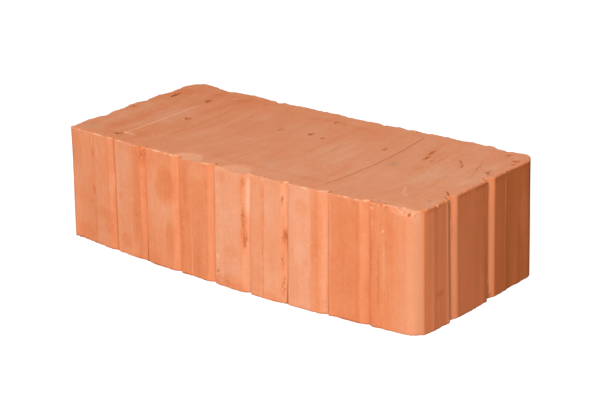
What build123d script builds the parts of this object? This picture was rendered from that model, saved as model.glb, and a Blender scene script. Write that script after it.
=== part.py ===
"""Extruded clay brick with vertical key grooves round its four sides.

The brick is a length cut by wire from a clay column, so its section is the
outline of the die: a swollen front face, four corners of different radii, a
row of key grooves on each long face, two on each end, and a few thin scores.
X runs along the brick, Y from front to back, Z up. The origin is the middle
of the lower bed.
"""

import os
from math import sqrt

from build123d import *

# Overall size of the brick
brick_length = 220.0
brick_width = 105.0  # at the middle, over the swell of the front face
brick_height = 60.0  # from one wire cut to the next
front_swell = 5.5  # how far the middle of the front face stands out past its ends

# Radii of the four vertical corners
front_left_radius = 2.0
front_right_radius = 7.5
back_right_radius = 8.5
back_left_radius = 8.0

# Key grooves of the long faces. A groove runs down a long slope to its root
# and comes back up a short steep wall, and its place is the middle of its mouth
side_groove_count = 8
side_groove_pitch = 22.7
front_row_shift = 1.9  # how far right of the middle the front row sits
back_row_shift = 7.4
side_groove_mouth = 4.8
side_groove_wall = 0.9  # the part of the mouth that the steep wall takes
side_groove_depth = 2.2

# Key grooves of the two ends, placed by their distance behind the middle
end_groove_places = (-20.5, 11.7)
end_groove_mouth = 7.3
end_groove_wall = 1.9
end_groove_depth = 2.6

# Rounding of every key groove
slope_lip_radius = 2.0
wall_lip_radius = 0.5
root_radius = 0.5

# Thin scores that burrs in the die leave, along the front and the right end
front_score_places = (-91.7, -22.4, 23.0, 91.0)
end_score_places = (-35.8, 26.0)
score_width = 1.0
score_depth = 0.5

# How far a cutter reaches out past the face that it cuts
cutter_overrun = 2.0

front_y = -brick_width / 2
back_y = brick_width / 2
left_x = -brick_length / 2
right_x = brick_length / 2
front_corner_y = front_y + front_swell
swell_radius = (left_x**2 + front_swell**2) / (2 * front_swell)


def front_face_y(x):
    """Y of the swollen front face at a distance x from the middle."""
    return front_y + swell_radius - sqrt(swell_radius**2 - x**2)


def v_cutter(left_reach, right_reach, depth, root_rounding=0.0):
    """V shaped cutter: its root is on the Y axis at depth, its mouth on the X axis."""
    overrun = 1 + cutter_overrun / depth
    outside = depth - depth * overrun
    with BuildSketch() as cutter:
        with BuildLine():
            Polyline(
                (-left_reach * overrun, outside),
                (0, depth),
                (right_reach * overrun, outside),
                close=True,
            )
        make_face()
        if root_rounding > 0:
            fillet(cutter.vertices().sort_by(Axis.Y)[-1], radius=root_rounding)
    return cutter.sketch


def key_groove(mouth, wall, depth, wall_side):
    """Cutter for one groove about the middle of its mouth, steep on wall_side (-1 or 1)."""
    slope = mouth - wall
    root = wall_side * (mouth / 2 - wall)
    reaches = (slope, wall) if wall_side > 0 else (wall, slope)
    return Pos(root, 0) * v_cutter(*reaches, depth, root_radius)


def lips(section, seats, mouth, side):
    """The corner on one side of the mouth of the groove at each seat."""
    points = [(seat * Pos(side * mouth / 2, 0)).position for seat in seats]
    return [section.vertices().sort_by_distance(point)[0] for point in points]


def row_places(shift):
    """Middles of the grooves of one long face."""
    start = shift - (side_groove_count - 1) / 2 * side_groove_pitch
    return [start + step * side_groove_pitch for step in range(side_groove_count)]


# Seats of the grooves: on their face, turned so that a cutter cuts inwards. The
# steep wall faces left on both long faces and backwards on both ends
front_seats = [Location((x, front_face_y(x)), 0) for x in row_places(front_row_shift)]
back_seats = [Location((x, back_y), 180) for x in row_places(back_row_shift)]
right_seats = [Location((right_x, y), 90) for y in end_groove_places]
left_seats = [Location((left_x, y), -90) for y in end_groove_places]
side_groove = (side_groove_mouth, side_groove_wall, side_groove_depth)
end_groove = (end_groove_mouth, end_groove_wall, end_groove_depth)
groove_rows = (
    (front_seats, side_groove, 1),
    (back_seats, side_groove, -1),
    (right_seats, end_groove, -1),
    (left_seats, end_groove, 1),
)
score_seats = [Location((x, front_face_y(x)), 0) for x in front_score_places]
score_seats += [Location((right_x, y), 90) for y in end_score_places]
score = v_cutter(score_width / 2, score_width / 2, score_depth)

# The die's outline, cut to the height of one brick
with BuildPart() as brick:
    with BuildSketch() as section:
        with BuildLine():
            ThreePointArc((left_x, front_corner_y), (0, front_y), (right_x, front_corner_y))
            Polyline(
                (right_x, front_corner_y), (right_x, back_y), (left_x, back_y), (left_x, front_corner_y)
            )
        make_face()
        for corner, radius in (
            ((left_x, front_corner_y), front_left_radius),
            ((right_x, front_corner_y), front_right_radius),
            ((right_x, back_y), back_right_radius),
            ((left_x, back_y), back_left_radius),
        ):
            fillet(section.vertices().sort_by_distance(corner)[0], radius=radius)
        for seats, groove, wall_side in groove_rows:
            with Locations(*seats):
                add(key_groove(*groove, wall_side), mode=Mode.SUBTRACT)
        for seats, groove, wall_side in groove_rows:
            mouth = groove[0]
            fillet(lips(section, seats, mouth, wall_side), radius=wall_lip_radius)
            fillet(lips(section, seats, mouth, -wall_side), radius=slope_lip_radius)
        with Locations(*score_seats):
            add(score, mode=Mode.SUBTRACT)
    extrude(amount=brick_height)

brick.part.label = "brick"
os.makedirs("parts", exist_ok=True)
export_step(brick.part, "parts/brick.step")
print("brick", brick.part.bounding_box(), "volume", round(brick.part.volume))
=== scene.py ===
"""Looks of a loose fired clay brick: its drying warp, wire-cut beds, die lines, worn
arrises, pits, cracks and stains, on a pale floor in soft studio light.

Shapes are worked out in millimetres in the brick's own frame: X along the brick,
Y from the front face to the back face, Z up from the lower bed. The section's
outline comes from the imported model, and the mesh is written in metres.
"""

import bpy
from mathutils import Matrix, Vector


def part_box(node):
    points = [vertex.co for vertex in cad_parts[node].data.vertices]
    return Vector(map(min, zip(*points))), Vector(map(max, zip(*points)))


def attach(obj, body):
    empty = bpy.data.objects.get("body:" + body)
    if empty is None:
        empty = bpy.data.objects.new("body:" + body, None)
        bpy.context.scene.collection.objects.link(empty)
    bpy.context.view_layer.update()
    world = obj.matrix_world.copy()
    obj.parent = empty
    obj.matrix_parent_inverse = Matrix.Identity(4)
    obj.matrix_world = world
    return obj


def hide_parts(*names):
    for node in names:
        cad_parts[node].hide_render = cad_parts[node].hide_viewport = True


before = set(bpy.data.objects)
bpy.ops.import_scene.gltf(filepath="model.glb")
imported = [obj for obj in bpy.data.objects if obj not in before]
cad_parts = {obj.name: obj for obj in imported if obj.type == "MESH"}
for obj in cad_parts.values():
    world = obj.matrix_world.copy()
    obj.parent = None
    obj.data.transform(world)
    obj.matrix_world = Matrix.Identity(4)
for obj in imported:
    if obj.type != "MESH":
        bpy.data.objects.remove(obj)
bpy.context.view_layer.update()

import math
from types import SimpleNamespace

import bmesh
import bpy
import numpy as np
from mathutils import Matrix, Vector
from mathutils.geometry import convex_hull_2d, delaunay_2d_cdt
from mathutils.kdtree import KDTree

MM = 0.001  # metres in a millimetre
node_low, node_high = (np.array(corner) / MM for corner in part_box("brick"))
length, width, height = node_high - node_low
front_y, back_y = node_low[1], node_high[1]
left_x, right_x = node_low[0], node_high[0]

# Mesh fineness, in millimetres
outline_step = 0.1
outline_softening = 0.12
column_spacing = 0.84
columns_per_turn = 3.4  # extra columns for each radian that the outline turns
facing_softening = 4  # the way that a face looks is blurred over this, so that no groove turns it
groove_window = 3.5  # a groove is as deep as its deepest place this near
row_spacing = 1.25
arris_rows = (0.0, 0.1, 0.22, 0.4, 0.7, 1.1, 1.7, 2.5, 3.5)
upper_bed_spacing = 1.3
fine_bed_spacing = 0.5
lower_bed_spacing = 2.6
noise_cells = 97  # bumps of the noise before it repeats

# Drying warp: the upper bed has slid against the lower one, and the swell of the
# front face dried out more towards the top
lean_x = -1.7
lean_y = 0.31
nominal_swell = 5.5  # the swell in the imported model
swell_below = 6.5
swell_above = 4.4

# The front right corner is flattened: the edge between its two flats, the ways they face, how
# far the edge is softened, and the reach of that
corner_edge = (109.05, -43.2)
corner_flats = (38.0, 82.5)  # degrees from the front towards the right
corner_softening = 1.1
corner_reach = 6

# Painted grey shade up the same corner, which darkens the flat that faces the light: strength, place and
# reach
corner_shade = 0.4
corner_shade_y = -44.8
corner_shade_reach = 2.6

# The wire pulled the back left corner outwards at the upper bed
pulled_corner = (-108.5, 51.0)
pull_reach = 9.0
pull = (-1.3, 2.7)

# Share of the depth of a groove or a score that is left at the bottom, in the middle and
# at the top of the brick. The wire smeared some of the grooves shut at the upper bed. Tables
# that are sorted by face give a mark's place along its face first.
usual_depth_left = (0.72, 0.82, 1.25)
groove_reach = 6
depths_left = {
    "front": (
        (-91.7, 0.4, 0.3, 0.35), (-77.5, 0.5, 0.42, 0.4), (-54, 0.35, 0.8, 1.1), (-22.4, 0.45, 0.3, 0.2),
        (91, 0.12, 0.12, 0.12), (36.5, 0.15, 0.8, 1.1),
    ),
    "back": (
        (-70, 0.8, 0.9, 0.12), (-48, 0.8, 0.9, 0.75), (-24.5, 0.8, 0.9, 0.08), (-2, 0.7, 0.9, 0.08),
        (21, 0.8, 0.9, 0.75), (43.5, 0.8, 0.9, 0.08), (65.5, 0.8, 0.9, 0.3), (88.5, 0.7, 0.9, 0.55),
    ),
    "left": ((-20.5, 0.8, 0.9, 0.7), (11.7, 0.8, 0.9, 0.4)),
    "right": ((-36, 0.6, 0.6, 0.6), (26, 0.7, 0.8, 1)),
}

# The grooves of the right end are a little narrower at the face than the section's: the depth
# that is filled in, and what the rest is stretched by
end_groove_lip = 0.4
end_groove_stretch = 1.2

# They also sit a little nearer the front: roots, how far, and over what reach
end_groove_roots = (-22.0, 10.2)
end_groove_slide = 0.85
slide_reach = 8.0

# The front's upper arris is worn back towards the right corner: place, how far back
worn_front = ((84, 0), (90, 0.8), (96, 1.7), (101, 2.5), (104.5, 2.4), (107, 0.7), (108.6, 0.1), (110, 0))
worn_slope = 0.85

# How far each face stands out of the plain block at its lower and at its upper arris
stand_out = {"front": (0.3, 0.1), "back": (0.1, 0.3), "left": (0.1, 0.25), "right": (0.25, 0.1)}

# Gentle swellings and hollows of the faces at their arrises: middle, reach, height
low_swellings = {
    "front": (
        (-100, 18, -0.8), (-68, 15, -0.5), (-57, 5, -0.4), (-24, 10, -0.6), (7, 9, 0.7), (24, 11, 0.7),
        (33, 6, 0.2), (47, 16, 0.5), (66, 8, -0.5), (106, 5, 0.5),
    ),
    "back": ((-80, 20, 0.8), (-20, 25, -0.8), (60, 22, 0.9)),
    "left": ((-46, 16, 0.7), (0, 20, -0.6), (35, 20, 0.6)),
    "right": ((-24, 10, 0.4), (-7, 14, 0.5), (5, 5, 0.4), (29, 7, -0.5), (41, 9, -0.3)),
}
high_swellings = {
    "front": ((-60, 12, 0.5), (-12, 14, -0.3), (35, 20, 0.3)),
    "back": (
        (-101, 10, 2.1), (-85, 7, -1.2), (-68, 10, 1.8), (-50, 6, -0.6), (-38, 14, -0.9), (0, 16, -0.9),
        (15, 14, -0.5), (42, 10, 0.6), (56, 14, 1.2), (74, 7, 1.3), (83, 8, 1.3), (93, 5, -0.6),
        (103, 7, 0.9),
    ),
    "left": ((-44, 15, -1.6), (-20, 12, -1.3), (4, 9, 1.6), (25, 14, 1.7), (44, 10, 1.3)),
    "right": ((-43, 9, 0.5), (30, 12, -0.3), (48, 6, -0.3)),
}

# Burrs that stand up along the right end: place, half width, height, share that is broken off
burrs = ((-24.9, 0.7, 0.25, 0), (24.7, 0.9, 0.42, 0.7), (-36.4, 0.7, 0.14, 0.3))

# The cutting wire's drag: streaks run from back to front along x + slant y + bow y y
drag_slant = 0.07
drag_bow = 0.0017

# Cracks of the upper bed: points, half width, depth, darkness
crack_side = 0.42  # distance of the rows of mesh points beside a crack
bed_cracks = (
    (((48.3, 45.8), (49.8, 35), (51.4, 23), (52.9, 8), (53.5, -4), (53.6, -16), (53.1, -28), (52, -41)),
     0.28, 0.3, 0.85),
    (((82.8, 26.5), (86, 22.5), (88.2, 20), (88.9, 16.8)), 0.27, 0.5, 0.9),
    (((94.5, 27.3), (96.2, 21), (97.8, 16.8)), 0.23, 0.25, 0.6),
    (((71.6, 19), (72, 15.5)), 0.25, 0.2, 0.5), (((74.6, 22), (75.2, 16.5)), 0.25, 0.2, 0.45),
    (((103.2, -15.8), (104.8, -17.3), (106.2, -18.9), (107.6, -20.8)), 0.32, 0.5, 1),
    (((98.5, 14.5), (100.6, 8)), 0.22, 0.16, 0.35), (((79.5, 8.5), (82, 1.5)), 0.22, 0.12, 0.3),
    (((91.5, 34), (93, 28.5)), 0.22, 0.12, 0.3),
)

# Pits of the upper bed: middle, half length along the drag, half width, depth
bed_pits = (
    (-105, 30, 5, 1.6, 1.2), (-106.8, 0, 1.6, 1.2, 1.1), (-81.8, 30.4, 3.2, 1.4, 0.9),
    (-69.3, 0.3, 2.3, 2.1, 1.3), (-18.1, 13.2, 2.8, 1.1, 0.4), (-44.8, 22.1, 2.8, 1.2, 0.2),
    (-0.7, 16, 2.5, 1.4, 0.8), (8.3, 14, 1.5, 1.3, 0.95), (-2.7, 40.4, 2.4, 1.3, 0.45),
    (43.3, 18.9, 3, 0.8, 0.6), (65, 28.5, 5.5, 0.9, 0.6), (67.6, 20.5, 3.6, 1.1, 0.8),
    (103.4, 18.5, 1.8, 1.2, 0.8), (97.7, 46.9, 1.3, 0.9, 0.8), (104.8, 41, 2.3, 1.4, 1.2),
    (-80, -40.6, 1.8, 2.2, 1.1), (104.3, -31.3, 1.2, 0.9, 0.3), (-53.5, 45, 1.6, 1.2, 0.3),
    (23.5, 4, 3.5, 0.6, 0.25), (91, 2, 1, 0.7, 0.3), (101.2, 44.2, 1, 0.8, 0.5),
    (106.4, 36.6, 1.6, 0.8, 0.6), (103, 21.6, 1.6, 0.7, 0.5), (105.2, 16.4, 1.2, 0.7, 0.5),
    (88.2, -46.2, 0.6, 1.5, 0.5), (91.6, -45.8, 0.5, 1.2, 0.45), (84, -46.8, 0.5, 0.9, 0.4),
)

# Pale ridge that the wire left, with the lump where it stopped
ridge_path = ((-81.2, 27), (-80.3, 15), (-79.8, 2), (-79.3, -10), (-78.5, -25), (-77.8, -36))
ridge_height = 0.22
ridge_half_width = 1
lump_place = (-77.6, -38)
lump_height = 0.5

# The upper bed sags towards the front right corner
sag_place = (108, -47)
sag_reach = 7
sag_depth = 0.25

# Streaks of the upper bed: points, half width, tone
bed_streaks = (
    (((-97, 18), (-93.5, -2), (-92.5, -14), (-92, -34)), 4, -0.45),
    (((-66, 47), (-68.5, 22), (-66, 4), (-64, -16), (-66, -36)), 4.2, -0.5),
    (((-62, 28.7), (-58.9, 12.7), (-57.3, -10.6), (-57.5, -28)), 1.2, -0.6),
    (((-73, -16), (-72, -36)), 3, -0.35), (((-86, 44), (-84.5, 12)), 2.6, -0.45),
    (((-85, 8), (-84, -30)), 1.6, 0.35), (((-104, 20), (-101.5, -4), (-101, -30)), 1.8, 0.3),
    (((-35, 20), (-32, -4), (-32.5, -24)), 1.5, -0.4), (((-50, 36), (-47.5, 10), (-47, -22)), 2.2, 0.25),
    (((-6, 4), (-5, -20), (-6, -36)), 1.4, -0.3), (((13, 40), (15, 12), (15.5, -8)), 2.6, -0.45),
    (((24, 16), (24.5, 2), (25.5, -18)), 0.8, -0.45), (((34, 30), (36, 4), (36, -16)), 2.4, 0.3),
    (((61.3, 43.3), (67.1, 20), (72.4, 3.4)), 1.7, -0.5),
    (((96, 6.9), (91.7, -1.9), (94, -16.7)), 1.4, -0.35),
    (((76, 32), (80, 12), (82, -12), (80, -30)), 1.8, 0.45),
    (((85, 34), (89.5, 12), (90.5, -10)), 0.9, -0.35), (((69, 34), (73, 14), (75, -8)), 0.8, -0.35),
    (((100, 34), (104, 8), (103, -12)), 2, 0.35), (((44, -12), (46.5, -20), (46, -30)), 2.2, -0.5),
    (((-16, -39.5), (-4, -41), (12, -40)), 2.8, -0.4),
    (((16, -41.5), (34, -40.5), (50, -39.5)), 1.8, -0.4), (((-98, 40), (-80, 42), (-60, 45)), 3.6, -0.3),
    (((-20, 38), (0, 41), (18, 39)), 2.8, -0.35), (((88, -44), (100, -43.5)), 1.5, 0.4),
)

# Grey smudges of the upper bed: middle, half length along the drag, half width, strength.
# Pale marks: points, reach, strength.
grey_smudges = (
    (60.6, 1.8, 6, 3.6, 0.7), (48.1, -16.3, 4, 3, 0.25), (104.3, -31.3, 2.2, 1.6, 0.8),
    (36.4, -28, 5, 4, 0.2), (12, -30, 10, 6, 0.2), (-102, -38, 7, 5, 0.3),
)
pale_marks = (
    (((-65.9, -31.6), (-64.6, -32.4)), 0.9, 0.7),
    (((84.5, -22), (88.5, -29.5), (92.5, -32.8)), 0.9, 0.45), (((35, -19.8), (37, -21.6)), 1.2, 0.35),
    (((-77.5, -37.5), (-75, -38.6), (-72, -38.4)), 2.4, 0.42),
    (((-75.6, -37), (-74.4, -37.6)), 1.2, 0.55), (((-73, 42), (-69, 46)), 3, 0.25),
    (((0, 46), (6, 44)), 2.6, 0.2), (((100, 44), (103, 46)), 1.2, 0.5),
)

# Flat facets that tilt from the upper bed down to its front arris: middle, half length,
# width, fall from the inner edge to the arris, paleness
arris_facets = ((-25.6, 9.6, 9.6, 1.2, 0.32), (5.8, 9.4, 9, 1.1, 0.24))

# Worn places of the upper arris: face, place, reach, added rounding
worn_arrises = (("right", -44, 4, 0.2), ("front", -20, 10, 0.2), ("back", -66, 12, 0.5))

# Chips of the arrises and faces: place, height, reach, depth, darkness
chips = {
    "front": (
        (-54.6, 60, 1.6, 1, 0.8), (-56.6, 59.6, 1, 0.6, 0.6), (11.6, 59.6, 1.4, 0.7, 0.6),
        (34.6, 59.8, 1.3, 0.7, 0.4), (82.8, 60, 1.2, 1, 1), (87.2, 60, 0.9, 0.6, 0.7),
        (89.4, 59.9, 1.1, 0.7, 0.8), (92.6, 59.8, 1, 0.6, 0.7), (104.2, 58, 1.2, 0.9, 1),
        (105.6, 58.3, 0.9, 0.7, 1), (107.6, 59, 1.1, 0.5, 0.5), (98.2, 58.6, 0.9, 0.5, 0.4),
        (101.6, 58.4, 0.9, 0.5, 0.5), (-5.4, 7.3, 1.1, 0.5, 0.8), (-3.6, 6.7, 0.9, 0.3, 0.5),
        # The darkness of the chips at the left of the front's lower arris is painted shade in their hollows
        (-6, 1, 1.4, 0.5, 0.3), (2, 1.4, 1.2, 0.4, 0.4), (-104.5, 0.2, 1.5, 0.5, 0.7),
        (-108, 0.2, 1.3, 0.4, 0.6), (-52.6, 0.6, 1.2, 0.6, 0.8), (60.6, 3.5, 1, 0.3, 0.4),
        (37.4, 0.6, 1.1, 0.5, 0.7), (-76, 0.6, 1, 0.4, 0.7), (-31, 0.5, 1, 0.4, 0.5),
        (83.6, 0.6, 0.9, 0.4, 0.6),
    ),
    "right": (
        (-43.6, 60, 2.2, 0.8, 0.1), (-34.4, 60, 1.2, 0.7, 0), (-27.6, 60, 1, 0.5, 0.2),
        # The darkness of the chip at 8.6, at the foot of the second groove, is painted shadow
        (26.2, 59.8, 1.2, 0.5, 0.9), (8.6, 1.6, 1.8, 0.7, 1), (-23.6, 0.8, 1.4, 0.4, 1),
        (21.8, 60, 1, 0.3, 0.6), (4, 60, 0.8, 0.3, 0.7), (-4, 60, 0.7, 0.3, 0.6),
    ),
    "left": ((-20, 0, 3.2, 1, 0.5), (-36, 60, 1.2, 0.5, 0.8), (30, 0.4, 2, 0.6, 0.7)),
    "back": (
        (-50, 60, 2.4, 0.8, 0.3), (94, 60, 2.4, 0.7, 0.3), (20, 0, 4, 1, 0.5), (-20, 60, 1.6, 0.6, 0.9),
        (40, 59.6, 1.2, 0.6, 0.9), (-80, 0.4, 2.2, 0.7, 0.8),
    ),
}

# Tone of the clay: -2 is burnt, -1 a deep orange, 0 the middle, 1 a pale pink and 2 chalky.
# Bands of the four faces: place, tone
face_tones = {
    "front": (
        (-110, 0.35), (-101, 0.25), (-94, 0.05), (-92.4, -0.3), (-91, 0.25), (-86, 0.2), (-79, 0.1),
        (-76.4, -0.4), (-75, 0.4), (-70, 0.55), (-63, 0.3), (-60, -0.5), (-57.5, -0.65), (-56, -0.3),
        (-53.4, -0.6), (-52, 0), (-45, 0.1), (-38, 0.2), (-33.4, 0.05), (-32, 0.1), (-30.4, -0.25),
        (-29.2, -0.5), (-24, -0.4), (-22.3, -0.1), (-21, -0.25), (-12, -0.35), (-10.6, 0.1),
        (-9.4, -0.15), (-7.6, 0), (-6.4, 1.2), (7.4, 0.85), (10, 0.3), (12.2, 0.5), (14.6, 0.5),
        (16, 0.4), (21.5, 0.6), (22.8, 0.3), (24, 0.75), (32, 0.7), (33.6, 0.35), (36.8, 0.4),
        (38.4, 0.8), (50.2, 1.1), (51.3, 0.2), (54.6, -0.1), (56, 0.2), (59.2, 0.7), (60.6, 0.05),
        (63, -0.45), (77.4, -0.62), (78.6, 0), (80.4, -0.2), (82, -0.7), (88, -0.3), (93, -0.35),
        (97, 0.05), (100, 0.3), (104, 0.45), (110, 0.45),
    ),
    "back": (
        (-110, 0.1), (-92, 0.3), (-74, 0.1), (-70, -0.6), (-50, -0.4), (-46, 0.5), (-28, 0.6),
        (-24, -0.1), (-5, -0.3), (-1, 0.9), (18, 0.8), (22, 0.1), (42, 0.3), (45, -0.6), (63, -0.5),
        (67, 0.2), (88, 0.3), (110, 0),
    ),
    "left": ((-50, 0), (-24, -0.3), (-19, 0.3), (8, 0.1), (14, -0.5), (30, -0.3), (50, 0.2)),
    # The right end's deep and burnt tones are painted shade for an end that faces away from the key lamp;
    # its paler bands on the groove slopes are partly paler clay and partly painted light
    "right": (
        (-49, 0.4), (-45, 0.1), (-42.8, -1.05), (-36, -0.98), (-27.8, -1), (-26.3, -0.5), (-24, -0.35),
        (-22, -0.15), (-18, -0.2), (-17, -1.35), (-5, -1.25), (4, -1.55), (6.5, -1.7), (8.1, -0.4),
        (9, -0.1), (10.5, -0.35), (13.6, -0.4), (14.6, -1.75), (24, -1.78), (30, -1.9), (38, -1.82),
        (46, -1.72),
    ),
}
slope_tone = 0.55  # how much paler the grooves of the back and the left end are

# Stains of the faces: place, height, half width, half height, tone
stains = {
    "front": (
        (-39.8, 43.2, 6.8, 9.6, -1.3), (-43, 36, 8.5, 16, 0.55), (-36.6, 16, 3, 9, -0.7),
        (11.4, 32, 1.5, 10, -0.8), (36.2, 33.4, 1.8, 4.6, -1), (37.2, 27.5, 0.8, 4, -0.8),
        (34.8, 20, 0.9, 4, -0.6), (35, 9, 1.2, 6, -0.5), (34.6, 50, 0.8, 3, -0.6),
        (10.8, 55, 0.9, 3.4, -0.7), (-3, 2.6, 5, 2.6, -0.8), (8, 2, 5, 1.8, -0.7),
        (-104, 48, 4, 10, -0.25), (-91.8, 50, 1, 2.6, -1), (-92.6, 30, 1, 3, -0.9),
        (-94.6, 22.5, 1.4, 1.2, -0.9), (-94.4, 34.5, 1, 1.2, -0.6), (-84, 18.5, 7, 3.6, -0.5),
        (-81.5, 12, 3, 3, -0.5), (-79, 10, 1.4, 9, -0.5), (-101, 5, 8, 6, -0.55),
        (-76.9, 38.5, 1.1, 3.6, 1), (-69, 8, 4.2, 3.6, -0.7), (-72.4, 31, 1.5, 2.4, -0.5),
        (-61.5, 20, 2.2, 12, -0.55), (-56, 54, 2, 5, -0.5), (-4.8, 15, 1.4, 1.4, 0.8),
        (4, 4.5, 6, 3.6, -0.6), (3.6, 19, 4.6, 3.4, -0.5), (-3.5, 55, 2.6, 2.6, -0.6), (1, 36, 3, 5, 0.3),
        (11.4, 31, 1.6, 11, -0.4), (28, 2.5, 5, 2.2, -0.5), (29, 24, 2.6, 6, -0.3), (27, 44, 3, 5, 0.3),
        (52.6, 38, 1.5, 18, -0.4), (91.2, 33, 0.7, 11, 0.6), (88.2, 22, 0.7, 13, -0.7),
        (84.6, 34, 0.7, 11, -0.6), (95, 42, 4, 11, -0.3), (-80, 48, 2.4, 8, -0.3),
        (46, 50, 3.6, 4.4, -0.4), (42.5, 10, 3, 5, -0.35), (45, 28, 3.6, 7, 0.45),
        (13.6, 49, 1.3, 10, 1.7), (35, 52, 1.2, 7, 0.6), (101, 58.6, 7, 1.5, 0.7),
        (106.6, 57.2, 2.4, 3, 0.6), (-14, 12, 1, 9, 0.3), (-26.6, 46, 1.2, 10, -0.4),
        (-28.4, 20, 0.8, 15, -0.5), (-18, 54, 6, 4, 0.45), (58, 24, 0.9, 26, 0.4), (70, 8, 6, 5, 0.25),
        (68, 40, 5, 9, -0.15), (-48, 4, 5, 4, -0.4), (-68, 50, 4, 6, 0.3),
    ),
    "right": ((41, 36, 4, 12, 0.25), (0, 8, 8, 10, 0.15), (-32, 17, 3, 1.3, -0.5)),
    "back": (
        (-60, 40, 8, 14, -0.5), (-12, 20, 7, 10, -0.6), (30, 44, 6, 9, -0.5), (76, 16, 8, 12, 0.4),
        (98, 36, 5, 16, -0.4), (-95, 14, 9, 10, -0.5),
    ),
    "left": ((-34, 20, 7, 14, -0.5), (0, 42, 7, 12, 0.4), (28, 18, 8, 10, -0.45), (38, 48, 6, 8, 0.35)),
}

# Torn clay: place, height, half width, half height, strength
torn_patches = {
    "front": (
        (10.8, 37, 1.4, 7, 0.9), (12, 27, 1.5, 6, 0.95), (11, 55, 1, 3.4, 0.8), (10.2, 44, 0.8, 8, 0.5),
        (36, 34, 1.9, 4, 1.05), (37.2, 28, 0.8, 4.5, 0.9), (34.6, 51, 1, 4, 0.75), (35, 42, 0.9, 6, 0.5),
        (34.8, 21, 1.2, 6, 0.8), (35.2, 9, 1.5, 8, 0.75), (-5, 4, 2.6, 3.6, 0.6),
        (-55.6, 57, 2.6, 4, 0.8), (1, 2.6, 5, 2.4, 0.55), (-92, 44, 0.9, 9, 0.6),
        (87.4, 22, 1.3, 16, 0.5), (84.6, 30, 0.9, 18, 0.45), (91.6, 20, 0.9, 14, 0.5),
        (59, 5, 2.2, 4, 0.6), (-60.5, 22, 1.6, 12, 0.55), (-79.4, 13, 2, 8, 0.42), (96, 59, 10, 1.4, 0.7),
        (-28.6, 22, 1, 18, 0.5), (53, 30, 1.4, 20, 0.45), (107, 57.8, 2.4, 1.8, 0.75),
    ),
    "right": ((25.6, 40, 1, 20, 0.7), (25.4, 12, 0.9, 14, 0.6)),
    "back": (
        (-46, 34, 2.2, 16, 0.85), (23, 20, 2.2, 14, 0.9), (67, 50, 1.8, 8, 0.8), (-90, 8, 4, 6, 0.6),
    ),
    "left": ((-22, 36, 1.8, 16, 0.8), (13, 12, 2.4, 9, 0.8)),
}

# Pale specks: place, height, radius, strength
pale_specks = {
    "front": (
        (84.1, 57.4, 0.9, 0.8), (85.6, 57.4, 0.7, 0.7), (85, 50.2, 0.8, 0.6), (90.8, 47.4, 0.9, 0.8),
        (84.2, 6.7, 0.9, 0.7), (16.3, 5, 0.8, 0.5), (49.9, 33, 1, 0.8), (51.6, 33.3, 0.9, 0.7),
        (23.4, 58.8, 1.2, 0.7), (13.6, 50, 0.9, 0.4), (-5.6, 15.4, 1, 0.6), (-4, 14.4, 0.8, 0.5),
        (-4.2, 7, 0.7, 0.5), (90.6, 36, 0.6, 0.5), (91.2, 28, 0.6, 0.4), (3.4, 30.2, 0.6, 0.5),
        (34.4, 42, 0.7, 0.4), (7, 59.6, 0.9, 0.5), (107.5, 57, 1.1, 0.5), (56.5, 16, 0.6, 0.5),
        (80.4, 44, 0.6, 0.3), (53.5, 46, 0.6, 0.5),
    ),
    "right": ((-33.8, 59.4, 0.9, 0.7), (-26, 2, 0.8, 0.4)),
}

# Dark and pale lines up a face: points (place, height), half width, darkness (below 0 pale)
face_lines = {
    "front": (
        (((-91, 58), (-91.3, 40), (-92, 22), (-92.7, 2)), 0.5, 0.6),
        (((-22.2, 28), (-22.3, 20), (-22.8, 2)), 0.5, -0.22),
        (((22.7, 58), (23, 30), (23.5, 2)), 0.5, 0.55), (((88, 40), (88.4, 24), (88, 8)), 0.45, 0.5),
        (((54.4, 58), (54.2, 30), (55.4, 2)), 0.4, 0.35), (((83.9, 50), (84, 20)), 0.4, 0.4),
        (((-12, 56), (-12.2, 4)), 0.5, 0.3), (((-9.9, 56), (-10.2, 4)), 0.5, -0.14),
        (((-25.9, 57), (-26, 26)), 0.4, 0.35), (((-17.6, 30), (-17.8, 2)), 0.4, 0.3),
        (((63.4, 56), (63.6, 4)), 0.45, 0.3), (((76.8, 58), (77, 2)), 0.5, 0.35),
        (((101.6, 50), (101.2, 6)), 0.4, 0.25), (((98.6, 40), (98.9, 8)), 0.4, 0.25),
        (((-57.3, 58), (-57.6, 32), (-58.9, 20), (-56, 6)), 0.9, 0.35),
        (((-6.2, 7.6), (-4.6, 7.2), (-3, 6.2)), 0.4, 0.9),
    ),
    "right": (
        # On the right end the pale lines along the burrs are painted highlights, and the dark lines at the
        # foot of the second groove are painted shadow where its lip is broken away
        (((-36.1, 58), (-36.1, 2)), 0.4, -0.12), (((-25.9, 58), (-25.6, 30), (-25.2, 2)), 0.3, -0.4),
        (((-20.9, 60), (-20.9, 50), (-21.1, 40)), 0.3, 0.9), (((10.6, 7), (10.9, 4)), 0.5, 1),
        (((11.3, 2.5), (11.5, 0.4)), 1, 1.6), (((8.7, 4.6), (9.2, 0.6)), 0.9, 1.6),
        (((24.4, 58), (24.2, 30), (24.4, 4)), 0.45, -0.2), (((-30.3, 18.2), (-34.8, 15.9)), 1.1, 0.35),
        (((6.4, 58), (6.6, 4)), 0.4, 0.2), (((-8.4, 58), (-8.6, 24)), 0.4, 0.15),
    ),
    "back": (
        (((-92, 58), (-91.5, 4)), 0.5, 0.5), (((30, 58), (30.6, 4)), 0.5, 0.45),
        (((8, 50), (7.4, 10)), 0.45, -0.2),
    ),
    "left": ((((-34, 58), (-34.4, 4)), 0.5, 0.5), (((28, 56), (28.6, 2)), 0.5, -0.2)),
}

# The right end came out of the die cleaner: how much less it has of each of these; its rim also has less
# painted highlight
cleaner_right = {"arris": 0.45, "relief": 0.94, "patches": 0.8, "rim": 0.8, "grain": 0.72}

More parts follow.
